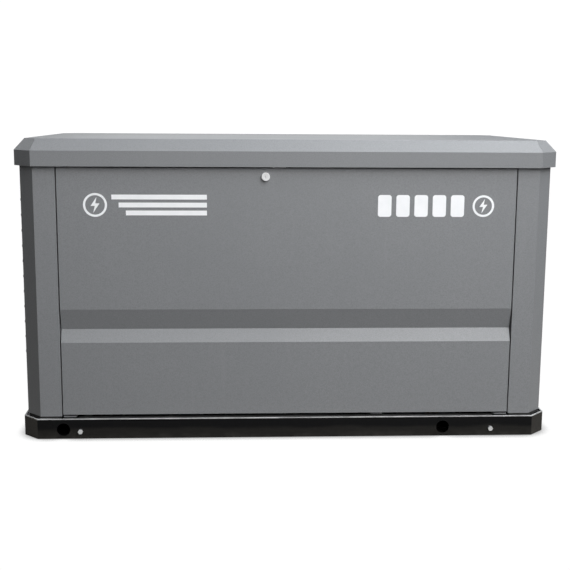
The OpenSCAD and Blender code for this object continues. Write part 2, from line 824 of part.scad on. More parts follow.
module exhaust_pipes() {
    color([0.50, 0.45, 0.40]) {
        for (i = [0, 1]) swept(exhaust_path(i), 17, 16);
    }
}

module muffler() {
    color([0.55, 0.54, 0.53]) translate([muffler_x, 0, exhaust_z]) difference() {
        union() {
            y_rod(-186, 186, 88);
            for (y = [-195.5, 186]) y_rod(y, y + 9.5, 70);
            for (y = [-150, 0, 144]) y_rod(y, y + 6, 91);
            x_rod(-95, -80, 26);
            for (y = [-120, 112]) difference() {
                block([-20, y, -exhaust_z + rail_z1], [20, y + 8, -40]);
                y_rod(y - 1, y + 9, 80);
                block([-14, y - 1, -exhaust_z + rail_z1 + 10], [14, y + 9, -120]);
            }
        }
        for (y = [-183, 3]) y_rod(y, y + 180, 85);
        x_rod(-96, -84, 18.5);
    }
}

module exhaust_outlet() {
    color([0.60, 0.60, 0.60]) translate([0, outlet_y, exhaust_z]) {
        difference() {
            union() {
                x_rod(-619, -545.2, 21);
                x_rod(-hx - 3.2, -hx - 0.2, 40);
                for (a = [45:90:315]) rotate([a, 0, 0]) translate([0, 0, 33]) x_rod(-hx - 6, -hx - 3, 4.5);
            }
            x_rod(-620, -540, 18.5);
        }
    }
}

// ---------- alternator ----------

module alternator_housing() {
    color([0.32, 0.33, 0.35]) translate([0, 0, crank_z]) difference() {
        union() {
            x_tube(-235, -45, alt_r, 118);
            for (a = [25:18:335]) rotate([a + 180, 0, 0])
                block([-228, -1.8, alt_r - 2], [-52, 1.8, alt_r + 7]);
            x_rod(-250, -235, alt_r);
            x_tube(-45, -10, alt_r, 124);
            x_tube(-20, -8.2, alt_r, 62);
            for (s = [-1, 1]) translate([-190, 0, foot_z - crank_z]) {
                block([-32, s * 96 - 34, 0], [32, s * 96 + 34, 12]);
                block([-6, s * 84 - 6, 11], [6, s * 84 + 6, 47]);
            }
        }
        x_rod(-260, -230, 26.05);
        for (a = [0:30:330]) rotate([a, 0, 0]) block([-260, -7, 50], [-234.5, 7, 112]);
        for (a = [0:45:315]) rotate([a, 0, 0]) block([-40, -30, 100], [-24, 30, 160]);
        x_rod(-234.9, -234, 118);
    }
}

module alternator_stator() {
    translate([0, 0, crank_z]) {
        color([0.25, 0.25, 0.27]) x_tube(-205, -85, 117.9, 82);
        color(copper) x_tube(-226, -205, 112, 88);
        color(copper) x_tube(-85, -64, 112, 88);
    }
}

module alternator_rotor() {
    translate([0, 0, crank_z]) {
        color([0.28, 0.28, 0.30]) difference() {
            x_rod(-205, -85, 79);
            x_rod(-206, -84, shaft_r + 0.02);
            for (a = [0:90:270]) rotate([a, 0, 0]) block([-206, -8, 48], [-84, 8, 80]);
        }
        color(copper) for (x = [-219, -85]) difference() {
            x_rod(x, x + 14, 66);
            x_rod(x - 1, x + 15, shaft_r + 0.02);
        }
    }
}

module alternator_fan() {
    color(cast) translate([0, 0, crank_z]) difference() {
        union() {
            x_rod(-52, -47, 108);
            x_rod(-47, -26, 32);
            for (a = [0:30:330]) rotate([a, 0, 0]) block([-48, -1.6, 60], [-27, 1.6, 106]);
        }
        x_rod(-60, -20, shaft_r + 0.02);
    }
}

module alternator_bearing() {
    color(zinc) translate([0, 0, crank_z]) difference() {
        x_rod(-250, -235, 26);
        x_rod(-251, -234, shaft_r + 0.05);
    }
}

// ---------- gas ----------

reg = [470, 190, 330];
module gas_regulator() {
    color([0.62, 0.63, 0.64]) translate(reg) {
        y_rod(-26, -10, 62);
        y_rod(-10, -4, 70);
        y_rod(-4, 10, 66);
        y_rod(10, 34, 30);
        y_rod(-50, -26, 22);
        block([-92, -22, -16], [-58, 10, 16]);
        block([-16, -22, -78], [16, 10, -60]);
        for (a = [0:45:315]) translate([66 * cos(a), 0, 66 * sin(a)]) y_rod(-12.2, -10, 3.5);
    }
    color([0.10, 0.10, 0.11]) translate([reg[0], reg[1] - 6, 226]) {
        block([-24, -22, -20], [24, 22, 26]);
        translate([0, 0, 0]) y_rod(-58, -22, 17);
    }
}

hose_path = spline([[388, 184, 346.4], [388, 184, 375], [388, 172, 430], [386, 146, 470], [370, 131, 487],
    [345, 128, 491], [300, 122, 493], [190, 108, 496], [144, 100, 498],
    [124, 86, 500], [118, 74, 500], [118, 63.5, 500]], 3);
pipe_r = 13.35;
pipe_y = reg[1] - 6;
valve_y = 231;
module gas_pipework() {
    color([0.75, 0.63, 0.25]) translate([gas_x, 0, gas_z]) {
        y_rod(pipe_y, 346, pipe_r);
        y_hex(306, 317.4, 38);
        y_hex(320.6, 330, 38);
        y_rod(200, 262, 19);
        translate([0, pipe_y, 0]) cylinder(h = 55.8, r = pipe_r);
        translate([0, pipe_y, 0]) sphere(pipe_r);
        translate([0, valve_y, 15]) cylinder(h = 12, r = 7);
        translate([0, valve_y, 26]) cylinder(h = 7, r = 2.95);
        translate([0, valve_y, 31.7]) cylinder(h = 4, r = 6, $fn = 6);
    }
}

module gas_hose() {
    color([0.10, 0.10, 0.10]) swept(hose_path, 11, 12);
}

module gas_valve_lever() {
    color([0.85, 0.70, 0.05]) translate([gas_x, valve_y, gas_z + 27.3]) difference() {
        union() {
            cylinder(h = 4, r = 10);
            block([-7, 0, 0], [7, 58, 4]);
            translate([0, 58, 0]) cylinder(h = 4, r = 7);
        }
        translate([0, 0, -1]) cylinder(h = 6, r = 3);
    }
}

// Threaded conduit hub through the rear panel with its locknut.
module conduit_hub() {
    color(zinc) translate([conduit_x, 0, gas_z]) difference() {
        union() {
            y_rod(302, 334, 20.7);
            y_hex(320.2, 327, 50);
            y_hex(310, 317.8, 50);
        }
        y_rod(300, 340, 17.5);
    }
}

// ---------- electrics ----------

bat = [[392, -275, 65], [567, -35, 250]];
bat_top = bat[1][2];
post_x = bat[0][0] + 20;
post_y = [-245, -65];
module battery() {
    color([0.09, 0.09, 0.10]) {
        block(bat[0], bat[1] - [0, 0, 22]);
        block([bat[0][0] - 2, bat[0][1] - 2, bat_top - 22], [bat[1][0] + 2, bat[1][1] + 2, bat_top]);
        for (i = [0:5]) translate([478, -250 + 38 * i, bat_top]) cylinder(h = 3, r = 9);
        block([bat[0][0] - 6, bat[0][1] - 6, rail_z1], [bat[1][0] + 6, bat[1][1] + 6, bat[0][2]]);
        difference() {
            block([540, bat[0][1] - 5, bat[0][2]], [556, bat[1][1] + 5, bat_top + 3]);
            block([530, bat[0][1] - 2, bat[0][2] - 1], [560, bat[1][1] + 2, bat_top]);
        }
    }
    color([0.72, 0.73, 0.74]) for (y = post_y) translate([post_x, y, bat_top]) cylinder(h = 16, r = 8);
}

clamp_z = bat_top + 16.2;
wire_z = clamp_z + 5;
wire_x = post_x - 11;
red_path = spline([[wire_x, post_y[0], wire_z], [391, post_y[0] + 2, wire_z - 2], [378, -234, wire_z - 18],
    [372, -210, 220], [368, -160, 162], [352, -136, 146], [318, -142, 148], [285, -186, 184],
    [244, -222, 232], [206, -224, 252], [182, -206, 250], [174, -182, 240]], 3);
black_path = spline([[wire_x, post_y[1], wire_z], [391, post_y[1] - 2, wire_z - 2], [378, -80, wire_z - 18],
    [372, -98, 220], [368, -122, 150], [352, -134, 130], [318, -152, 126], [284, -182, 118],
    [254, -184, 108], [236, -164, 106], [224, -146, 106]], 3);
module battery_cables() {
    color([0.75, 0.05, 0.04]) {
        swept(red_path, 5, 8);
        translate([post_x, post_y[0], clamp_z]) cylinder(h = 10, r = 13);
    }
    color([0.05, 0.05, 0.05]) {
        swept(black_path, 5, 8);
        translate([post_x, post_y[1], clamp_z]) cylinder(h = 10, r = 13);
    }
}

box_x = [378, 580];
box_z = [400, 625];
module control_box() {
    color([0.30, 0.31, 0.32]) {
        difference() {
            block([box_x[0], face_y + 3, box_z[0]], [box_x[1], -140, box_z[1]]);
            block([box_x[0] + 2, face_y + 2, box_z[0] + 2], [box_x[1] - 2, -142, box_z[1] - 2]);
            for (i = [0:5]) block([box_x[0] + 30, -150, 440 + 22 * i], [box_x[1] - 30, -130, 446 + 22 * i]);
        }
        for (z = [box_z[0] + 20, box_z[1] - 40])
            block([bulk_x[1] + sheet, -200, z], [box_x[0] + 1, -160, z + 3]);
    }
}

display = [438, 572];
mode_at = [402, 490];
stop_at = [468, 490];
breaker_at = [402, 432];

// Block centred on a point of the face, half sizes w and h, between two depths.
module face_block(at, w, h, y0, y1) {
    translate([at[0], face_y, at[1]]) block([-w, y0, -h], [w, y1, h]);
}
module face_rod(at, y0, y1, r) {
    translate([at[0], face_y, at[1]]) y_rod(y0, y1, r);
}
module trunnion(at, y, half, r) {
    translate([at[0], face_y + y, at[1]]) x_rod(-half, half, r);
}
module control_face() {
    color([0.10, 0.10, 0.11]) difference() {
        union() {
            block([box_x[0] - 4, face_y, box_z[0] - 4], [box_x[1] + 4, face_y + 3, box_z[1] + 4]);
            face_block(display, 56, 32, -4, 1);
            face_block(mode_at, 15, 23, -2, 8);
            face_block(breaker_at, 15, 24, -5, 10);
            face_rod(stop_at, -3, 1, 21);
            for (x = [446, 480]) {
                face_rod([x, breaker_at[1]], -8, 1, 10);
                face_rod([x, breaker_at[1]], -12, -8, 8);
            }
        }
        face_block(mode_at, 10, 18.5, -5, 12);
        trunnion(mode_at, 3, 13.1, 1.55);
        face_rod(stop_at, -10, 10, 8.3);
        face_block(breaker_at, 9, 19, -6, 12);
        trunnion(breaker_at, 6, 13.1, 1.55);
        face_block(display, 46, 24, -5, -2.5);
    }
}

module mode_switch() {
    color([0.75, 0.08, 0.06]) {
        translate([mode_at[0], face_y + 3, mode_at[1]]) yz_extrude(-9.5, 9.5)
            polygon([[-7, 16.5], [-5, 0], [-7, -16.5], [3, -14], [5, 0], [3, 14]]);
        trunnion(mode_at, 3, 13, 1.5);
    }
}
module stop_button() {
    color([0.80, 0.06, 0.05]) {
        face_rod(stop_at, -22, -11, 19);
        face_rod(stop_at, -11, 12, 8);
    }
}
module breaker_toggle() {
    color([0.05, 0.05, 0.05]) {
        trunnion(breaker_at, 6, 8, 9);
        trunnion(breaker_at, 6, 13, 1.5);
        translate([breaker_at[0], face_y + 6, breaker_at[1]])
            rotate([-25, 0, 0]) block([-6, -26, -3], [6, 0, 3]);
    }
}

// ---------- nodes ----------

base_tray();
base_frame();
base_bolts();
weather_seals();
left_side_panel();
right_side_panel();
rear_panel();
rear_panel_screws();
front_top_rail();
front_panel_cradles();
front_panel();
front_panel_pins();
front_panel_foam();
front_decals();
lock_housing();
lock_nut();
lock_plug();
lock_cam();
lid();
lid_foam();
lid_keeper();
hinge_lid_leaves();
hinge_body_leaves();
hinge_pins();
bulkheads();
rubber_mounts();
crankcase();
cylinders();
cylinder_heads();
rocker_covers();
spark_plugs();
intake_manifold();
air_filter_box();
throttle_lever();
crankshaft();
flywheel();
blower_housing();
oil_filter();
oil_dipstick();
starter_motor();
exhaust_pipes();
muffler();
exhaust_outlet();
alternator_housing();
alternator_stator();
alternator_rotor();
alternator_fan();
alternator_bearing();
gas_regulator();
gas_pipework();
gas_hose();
gas_valve_lever();
conduit_hub();
battery();
battery_cables();
control_box();
control_face();
mode_switch();
stop_button();
breaker_toggle();
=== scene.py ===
"""Looks of the home standby generator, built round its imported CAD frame. Metres, +Z up, front towards -Y."""

import json
import math

import bmesh
import bpy
from mathutils import Matrix, Vector


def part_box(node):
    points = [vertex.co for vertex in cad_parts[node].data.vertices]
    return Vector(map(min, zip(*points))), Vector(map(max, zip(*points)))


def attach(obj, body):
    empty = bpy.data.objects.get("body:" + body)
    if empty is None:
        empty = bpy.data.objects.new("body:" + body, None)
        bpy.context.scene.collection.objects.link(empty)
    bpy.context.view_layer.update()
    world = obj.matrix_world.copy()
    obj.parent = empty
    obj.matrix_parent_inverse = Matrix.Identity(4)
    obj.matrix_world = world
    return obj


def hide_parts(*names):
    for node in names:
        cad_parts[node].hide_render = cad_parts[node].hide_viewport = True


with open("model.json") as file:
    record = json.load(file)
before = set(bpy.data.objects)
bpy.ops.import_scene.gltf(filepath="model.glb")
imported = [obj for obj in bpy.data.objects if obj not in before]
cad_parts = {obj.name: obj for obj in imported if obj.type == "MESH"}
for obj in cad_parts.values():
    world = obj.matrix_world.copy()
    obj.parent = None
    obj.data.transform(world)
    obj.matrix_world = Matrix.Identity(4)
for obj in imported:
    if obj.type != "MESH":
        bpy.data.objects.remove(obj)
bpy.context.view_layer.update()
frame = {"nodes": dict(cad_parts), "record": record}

MM = 0.001


# ---------- camera, floor and light ----------

CAMERA_AT = (-0.120, -2.651, 0.769)
CAMERA_YAW = math.radians(2.768)
CAMERA_PITCH = math.radians(-9.876)
CAMERA_ROLL = math.radians(0.375)
CAMERA_LENS_MM = 64.8
SENSOR_MM = 36.0


def make_camera():
    """A camera from its place and its yaw, pitch and roll, as on a tripod."""
    ahead = Vector((math.sin(CAMERA_YAW), math.cos(CAMERA_YAW), 0))
    right = Vector((math.cos(CAMERA_YAW), -math.sin(CAMERA_YAW), 0))
    level_up = Vector((0, 0, 1))
    forward = math.cos(CAMERA_PITCH) * ahead + math.sin(CAMERA_PITCH) * level_up
    up = math.cos(CAMERA_PITCH) * level_up - math.sin(CAMERA_PITCH) * ahead
    x_axis = math.cos(CAMERA_ROLL) * right + math.sin(CAMERA_ROLL) * up
    y_axis = math.cos(CAMERA_ROLL) * up - math.sin(CAMERA_ROLL) * right
    data = bpy.data.cameras.new("camera")
    data.lens = CAMERA_LENS_MM
    data.sensor_width = SENSOR_MM
    data.clip_end = 100
    camera = bpy.data.objects.new("camera", data)
    bpy.context.scene.collection.objects.link(camera)
    turn = Matrix((x_axis, y_axis, -forward)).transposed().to_4x4()
    camera.matrix_world = Matrix.Translation(CAMERA_AT) @ turn
    bpy.context.scene.camera = camera


# Softboxes round the object: azimuth from the front towards the right, elevation, side in metres, watts.
LIGHTS = {
    "key_low": (30, 35, 2.2, 94),
    "key_high": (40, 60, 2.4, 116),
    "right_high": (80, 58, 1.8, 26),
    "front": (0, 30, 2.2, 34),
    "front_low": (10, 12, 1.6, 15),
    "back": (180, 35, 2.4, 30),
    "back_left": (226, 13, 1.8, 55),
    "back_right": (134, 13, 1.8, 20),
}
HIGH_LIGHT = 50
COOL_WHITE = (0.92, 0.96, 1.0)
LIGHT_DISTANCE = 4.0
LIGHT_TARGET = Vector((0, 0, 0.35))

# The white background, the weak glow that fills shadows, and the overcast sky that glossy paint mirrors.
BACKDROP = 1.05
SKY_GLOW = 0.02
SKY_GLOSS = 0.42
HORIZON_SHARE = 0.3
SKY_RISE = 0.7

# The floor: what it throws back at the object, and the shadow where the two touch.
FLOOR_HALF = 12.0
SLAB_EDGE = 75 * MM
SLAB_SOFTNESS = 12 * MM
SLAB_BOUNCE = (0.20, 0.185, 0.165)
GROUND_BOUNCE = (0.060, 0.060, 0.062)
CONTACT_REACH = 35 * MM


def softbox(name, azimuth, elevation, side, power):
    data = bpy.data.lights.new(name, "AREA")
    data.shape = "SQUARE"
    data.size = side
    data.energy = power
    if elevation > HIGH_LIGHT:
        data.color = COOL_WHITE
    light = bpy.data.objects.new(name, data)
    bpy.context.scene.collection.objects.link(light)
    turn, lift = math.radians(azimuth), math.radians(elevation)
    away = Vector((math.sin(turn) * math.cos(lift), -math.cos(turn) * math.cos(lift), math.sin(lift)))
    light.location = LIGHT_TARGET + LIGHT_DISTANCE * away
    light.rotation_euler = away.to_track_quat("Z", "Y").to_euler()


def make_stage():
    """A white cyclorama to the camera; what it throws back at the object is kept low."""
    scene = bpy.context.scene
    scene.view_settings.view_transform = "Standard"
    world = bpy.data.worlds.new("studio")
    scene.world = world
    world.use_nodes = True
    tree = world.node_tree
    tree.nodes.clear()
    out = tree.nodes.new("ShaderNodeOutputWorld")
    seen = tree.nodes.new("ShaderNodeBackground")
    seen.inputs["Color"].default_value = (1, 1, 1, 1)
    seen.inputs["Strength"].default_value = BACKDROP
    glow = tree.nodes.new("ShaderNodeBackground")
    glow.inputs["Color"].default_value = (0.94, 0.97, 1.0, 1)
    glow.inputs["Strength"].default_value = SKY_GLOW
    place = tree.nodes.new("ShaderNodeTexCoord")
    split = tree.nodes.new("ShaderNodeSeparateXYZ")
    tree.links.new(place.outputs["Generated"], split.inputs[0])
    rise = tree.nodes.new("ShaderNodeMapRange")
    rise.interpolation_type = "SMOOTHSTEP"
    rise.inputs["From Min"].default_value = 0.0
    rise.inputs["From Max"].default_value = SKY_RISE
    rise.inputs["To Min"].default_value = HORIZON_SHARE * SKY_GLOSS
    rise.inputs["To Max"].default_value = SKY_GLOSS
    tree.links.new(split.outputs["Z"], rise.inputs["Value"])
    overcast = tree.nodes.new("ShaderNodeBackground")
    overcast.inputs["Color"].default_value = (0.93, 0.96, 1.0, 1)
    tree.links.new(rise.outputs[0], overcast.inputs["Strength"])
    path = tree.nodes.new("ShaderNodeLightPath")
    shine = tree.nodes.new("ShaderNodeMixShader")
    tree.links.new(path.outputs["Is Glossy Ray"], shine.inputs["Fac"])
    tree.links.new(glow.outputs[0], shine.inputs[1])
    tree.links.new(overcast.outputs[0], shine.inputs[2])
    mix = tree.nodes.new("ShaderNodeMixShader")
    tree.links.new(path.outputs["Is Camera Ray"], mix.inputs["Fac"])
    tree.links.new(shine.outputs[0], mix.inputs[1])
    tree.links.new(seen.outputs[0], mix.inputs[2])
    tree.links.new(mix.outputs[0], out.inputs["Surface"])

    for name, (azimuth, elevation, side, power) in LIGHTS.items():
        softbox(name, azimuth, elevation, side, power)

    mesh = bpy.data.meshes.new("floor")
    corners = [(x * FLOOR_HALF, y * FLOOR_HALF, 0) for x, y in ((-1, -1), (1, -1), (1, 1), (-1, 1))]
    mesh.from_pydata(corners, [], [(0, 1, 2, 3)])
    floor = bpy.data.objects.new("floor", mesh)
    scene.collection.objects.link(floor)
    floor.data.materials.append(floor_material())


# ---------- materials ----------

class Shader:
    """A Principled material under construction, in the row frame's own metres."""

    def __init__(self, name):
        self.material = bpy.data.materials.new(name)
        self.material.use_nodes = True
        self.tree = self.material.node_tree
        self.tree.nodes.clear()
        self.out = self.node("ShaderNodeOutputMaterial")
        self.bsdf = self.node("ShaderNodeBsdfPrincipled")
        self.link(self.bsdf.outputs[0], self.out.inputs["Surface"])
        self.place = self.node("ShaderNodeTexCoord").outputs["Object"]

    def node(self, kind, **values):
        made = self.tree.nodes.new(kind)
        for name, value in values.items():
            setattr(made, name, value)
        return made

    def link(self, a, b):
        self.tree.links.new(a, b)

    def put(self, socket, value):
        """Sets a socket of the shader to a constant, or links an output to it."""
        target = self.bsdf.inputs[socket]
        if isinstance(value, bpy.types.NodeSocket):
            self.link(value, target)
        elif isinstance(value, tuple):
            target.default_value = (*value, 1)
        else:
            target.default_value = value

    def stretched(self, scale):
        """The place, scaled along each axis, for streaks and brushing."""
        made = self.node("ShaderNodeMapping")
        made.inputs["Scale"].default_value = scale
        self.link(self.place, made.inputs["Vector"])
        return made.outputs[0]

    def noise(self, scale, detail=2.0, roughness=0.5, at=None):
        made = self.node("ShaderNodeTexNoise")
        made.inputs["Scale"].default_value = scale
        made.inputs["Detail"].default_value = detail
        made.inputs["Roughness"].default_value = roughness
        self.link(at or self.place, made.inputs["Vector"])
        return made.outputs["Fac"]

    def cells(self, scale, feature="F1", output="Distance", at=None):
        made = self.node("ShaderNodeTexVoronoi", feature=feature)
        made.inputs["Scale"].default_value = scale
        self.link(at or self.place, made.inputs["Vector"])
        return made.outputs[output]

    def bands(self, scale, direction, distortion=0.0):
        made = self.node("ShaderNodeTexWave", bands_direction=direction)
        made.inputs["Scale"].default_value = scale
        made.inputs["Distortion"].default_value = distortion
        self.link(self.place, made.inputs["Vector"])
        return made.outputs["Fac"]

    def span(self, value, low, high, to_low=0.0, to_high=1.0):
        """Maps low..high to to_low..to_high and holds it there outside."""
        made = self.node("ShaderNodeMapRange")
        self.link(value, made.inputs["Value"])
        made.inputs["From Min"].default_value = low
        made.inputs["From Max"].default_value = high
        made.inputs["To Min"].default_value = to_low
        made.inputs["To Max"].default_value = to_high
        return made.outputs[0]

    def maths(self, operation, a, b=0.0):
        made = self.node("ShaderNodeMath", operation=operation)
        for socket, value in zip(made.inputs, (a, b)):
            if isinstance(value, bpy.types.NodeSocket):
                self.link(value, socket)
            else:
                socket.default_value = value
        return made.outputs[0]

    def mix(self, share, a, b):
        """Colours a and b, by a share from 0 to 1."""
        made = self.node("ShaderNodeMix", data_type="RGBA")
        self.link(share, made.inputs[0])
        for socket, value in ((made.inputs[6], a), (made.inputs[7], b)):
            if isinstance(value, bpy.types.NodeSocket):
                self.link(value, socket)
            else:
                socket.default_value = (*value, 1)
        return made.outputs[2]

    def axis(self, letter):
        made = self.node("ShaderNodeSeparateXYZ")
        self.link(self.place, made.inputs[0])
        return made.outputs[letter]

    def near_edge(self, radius):
        """0 on a flat, rising to 1 at a sharp edge."""
        bevel = self.node("ShaderNodeBevel", samples=4)
        bevel.inputs["Radius"].default_value = radius
        plain = self.node("ShaderNodeNewGeometry")
        dot = self.node("ShaderNodeVectorMath", operation="DOT_PRODUCT")
        self.link(bevel.outputs[0], dot.inputs[0])
        self.link(plain.outputs["Normal"], dot.inputs[1])
        return self.span(dot.outputs["Value"], 1.0, 0.75)

    def bump(self, height, depth, strength=1.0):
        """Adds a bump of that depth in metres on top of any before it."""
        made = self.node("ShaderNodeBump")
        made.inputs["Strength"].default_value = strength
        made.inputs["Distance"].default_value = depth
        self.link(height, made.inputs["Height"])
        before = self.bsdf.inputs["Normal"].links
        if before:
            self.link(before[0].from_socket, made.inputs["Normal"])
        self.link(made.outputs[0], self.bsdf.inputs["Normal"])


def grey(level):
    return (level, level, level)


def floor_material():
    """White floor to the camera, with a contact shadow; in reflections a pale slab on darker ground."""
    s = Shader("pale_floor")
    low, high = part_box("base_tray")
    y = s.axis("Y")
    beyond = s.maths("MAXIMUM", s.maths("SUBTRACT", low.y, y), s.maths("SUBTRACT", y, high.y))
    patchy = s.span(s.noise(9, 3), 0.3, 0.7, -SLAB_SOFTNESS, SLAB_SOFTNESS)
    slab = s.span(s.maths("ADD", beyond, patchy), SLAB_EDGE - SLAB_SOFTNESS, SLAB_EDGE + SLAB_SOFTNESS)
    s.put("Base Color", s.mix(slab, SLAB_BOUNCE, GROUND_BOUNCE))
    s.put("Roughness", 0.9)
    s.put("Specular IOR Level", 0.1)
    contact = s.node("ShaderNodeAmbientOcclusion", samples=8)
    contact.inputs["Distance"].default_value = CONTACT_REACH
    white = s.node("ShaderNodeEmission")
    s.link(s.span(contact.outputs["AO"], 0.35, 0.9, 0.25, 1.02), white.inputs["Strength"])
    path = s.node("ShaderNodeLightPath")
    either = s.node("ShaderNodeMixShader")
    s.link(path.outputs["Is Camera Ray"], either.inputs["Fac"])
    s.link(s.bsdf.outputs[0], either.inputs[1])
    s.link(white.outputs[0], either.inputs[2])
    s.link(either.outputs[0], s.out.inputs["Surface"])
    return s.material


def powder_coat():
    """Grey powder coat: fine orange peel with a sparkle of darker grains, lighter at folds, partly from wear and
    partly as a painted highlight.
    """
    s = Shader("grey_powder_coat")
    grain = s.noise(520, 3, 0.7)
    broad = s.noise(2.2, 3, 0.55)
    streaks = s.noise(1, 2, 0.5, s.stretched((60, 60, 3)))
    tone = s.mix(s.span(broad, 0.3, 0.7), (0.208, 0.213, 0.220), (0.232, 0.236, 0.242))
    tone = s.mix(s.span(grain, 0.36, 0.60), (0.176, 0.180, 0.186), tone)
    tone = s.mix(s.span(streaks, 0.62, 0.9, 0, 0.10), tone, grey(0.30))
    # Folds and edges are lightened: partly wear, partly a painted highlight of the rounded edge.
    s.put("Base Color", s.mix(s.maths("MULTIPLY", s.near_edge(1.2 * MM), 0.35), tone, grey(0.36)))
    s.put("Roughness", s.span(s.maths("ADD", grain, broad), 0.6, 1.4, 0.52, 0.40))
    s.put("Specular IOR Level", 0.5)
    s.bump(s.noise(260, 2), 0.20 * MM, 0.25)
    s.bump(grain, 0.10 * MM, 0.30)
    return s.material


# Height of the painted highlight: the band under the tray's top edge that is painted bright.
RIM_HIGHLIGHT_DEPTH = 2.6 * MM


def gloss_black():
    """Black gloss paint with faint orange peel, patches lighter and browner towards the ground, and a painted
    highlight along the tray's rim.
    """
    s = Shader("black_gloss_coat")
    low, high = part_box("base_tray")
    z = s.axis("Z")
    # Patches that grow lighter and browner over the lowest 45 mm, towards the ground.
    low_patches = s.maths("MULTIPLY", s.noise(38, 4, 0.65), s.span(z, 0.045, 0.0))
    base = s.mix(s.span(low_patches, 0.35, 0.8, 0, 0.30), grey(0.0035), (0.085, 0.080, 0.072))
    # Edges are lightened a little: partly wear, partly a painted highlight of the rounded edge.
    base = s.mix(s.maths("MULTIPLY", s.near_edge(1.0 * MM), 0.12), base, grey(0.20))
    # Painted highlight: a light grey band just under the tray's top edge, mottled by noise, stands in for the lit
    # lip.
    rim_highlight = s.maths("MULTIPLY", s.span(z, high.z - RIM_HIGHLIGHT_DEPTH, high.z - 0.3 * RIM_HIGHLIGHT_DEPTH),
                  s.maths("LESS_THAN", z, high.z + 0.5 * MM))
    highlight_mottle = s.span(s.noise(26, 4, 0.6), 0.32, 0.62, 0.55, 1.0)
    s.put("Base Color", s.mix(s.maths("MULTIPLY", rim_highlight, highlight_mottle), base, grey(0.62)))
    s.put("Roughness", s.span(s.noise(22, 3), 0.3, 0.7, 0.05, 0.11))
    s.put("Coat Weight", 0.3)
    s.put("Coat Roughness", 0.04)
    s.bump(s.noise(140, 1), 0.20 * MM, 0.05)
    return s.material


def plated(name, light, dark, rough=(0.24, 0.42), scale=35, metallic=1.0):
    """Plated or machined steel with a cloudy passivation film and fine scratches."""
    s = Shader(name)
    cloud = s.noise(scale, 4, 0.6)
    s.put("Base Color", s.mix(s.span(cloud, 0.3, 0.7), dark, light))
    s.put("Metallic", metallic)
    s.put("Roughness", s.span(s.noise(scale * 4, 3), 0.3, 0.7, *rough))
    s.bump(s.noise(1, 2, 0.5, s.stretched((90, 90, 900))), 0.05 * MM, 0.25)
    return s.material


def lock_chrome():
    """Satin nickel lock, turned on a lathe: fine rings round its middle."""
    s = Shader("chrome_lock")
    low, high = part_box("lock_housing")
    middle = (low + high) / 2
    shift = s.node("ShaderNodeMapping")
    shift.inputs["Location"].default_value = -middle
    s.link(s.place, shift.inputs["Vector"])
    rings = s.node("ShaderNodeTexWave", wave_type="RINGS", rings_direction="Y")
    rings.inputs["Scale"].default_value = 300
    s.link(shift.outputs[0], rings.inputs["Vector"])
    s.put("Base Color", s.mix(s.noise(60, 3), (0.70, 0.70, 0.69), (0.78, 0.78, 0.78)))
    s.put("Metallic", 0.75)
    s.put("Roughness", s.span(s.noise(90, 2), 0.3, 0.7, 0.42, 0.52))
    s.bump(rings.outputs["Fac"], 0.02 * MM, 0.25)
    return s.material


def galvanised():
    """Hot-dip zinc with its spangle."""
    s = Shader("galvanised_sheet")
    spangle = s.cells(85, output="Color")
    value = s.node("ShaderNodeSeparateColor")
    s.link(spangle, value.inputs[0])
    flake = value.outputs[0]
    s.put("Base Color", s.mix(flake, (0.40, 0.42, 0.44), (0.58, 0.60, 0.62)))
    s.put("Metallic", 0.9)
    s.put("Roughness", s.span(flake, 0, 1, 0.36, 0.56))
    s.bump(s.cells(85, feature="DISTANCE_TO_EDGE"), 0.05 * MM, 0.3)
    return s.material


def casting():
    """Sand-cast aluminium: grainy, dull, with oil and dust in patches."""
    s = Shader("cast_aluminium")
    stain = s.noise(9, 5, 0.65)
    s.put("Base Color", s.mix(s.span(stain, 0.38, 0.72), (0.56, 0.57, 0.58), (0.33, 0.32, 0.30)))
    s.put("Metallic", 0.75)
    s.put("Roughness", s.span(s.noise(60, 4), 0.3, 0.7, 0.42, 0.66))
    s.bump(s.noise(420, 3, 0.7), 0.5 * MM, 0.35)
    return s.material


def exhaust_steel():
    """Stainless steel blued and browned by heat, hottest near the heads."""
    s = Shader("exhaust_steel")
    heat = s.maths("ADD", s.span(s.axis("X"), -0.35, 0.12, 0.0, 0.8), s.span(s.noise(14, 4), 0.3, 0.7, -0.2, 0.2))
    straw = s.mix(s.span(heat, 0.0, 0.4), (0.48, 0.47, 0.45), (0.50, 0.36, 0.20))
    s.put("Base Color", s.mix(s.span(heat, 0.45, 0.85), straw, (0.20, 0.18, 0.26)))
    s.put("Metallic", 0.95)
    s.put("Roughness", s.span(s.noise(90, 3), 0.3, 0.7, 0.30, 0.52))
    s.bump(s.noise(240, 2), 0.15 * MM, 0.3)
    return s.material


# Length of each end winding of the alternator.
WINDING = 21 * MM


def copper_wound_core():
    """Steel laminations in the middle and varnished copper windings at the two ends."""
    s = Shader("core_steel")
    low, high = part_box("alternator_stator")
    x = s.axis("X")
    front_end = s.maths("GREATER_THAN", x, high.x - WINDING)
    rear_end = s.maths("LESS_THAN", x, low.x + WINDING)
    winding = s.maths("ADD", front_end, rear_end)
    wires = s.bands(420, "DIAGONAL", 2.0)
    leaves = s.bands(900, "X")
    iron = s.mix(leaves, grey(0.07), grey(0.14))
    copper = s.mix(wires, (0.26, 0.09, 0.035), (0.58, 0.24, 0.10))
    s.put("Base Color", s.mix(winding, iron, copper))
    s.put("Metallic", s.span(winding, 0, 1, 0.8, 0.7))
    s.put("Roughness", s.span(wires, 0, 1, 0.30, 0.5))
    s.bump(wires, 0.5 * MM, 0.5)
    return s.material


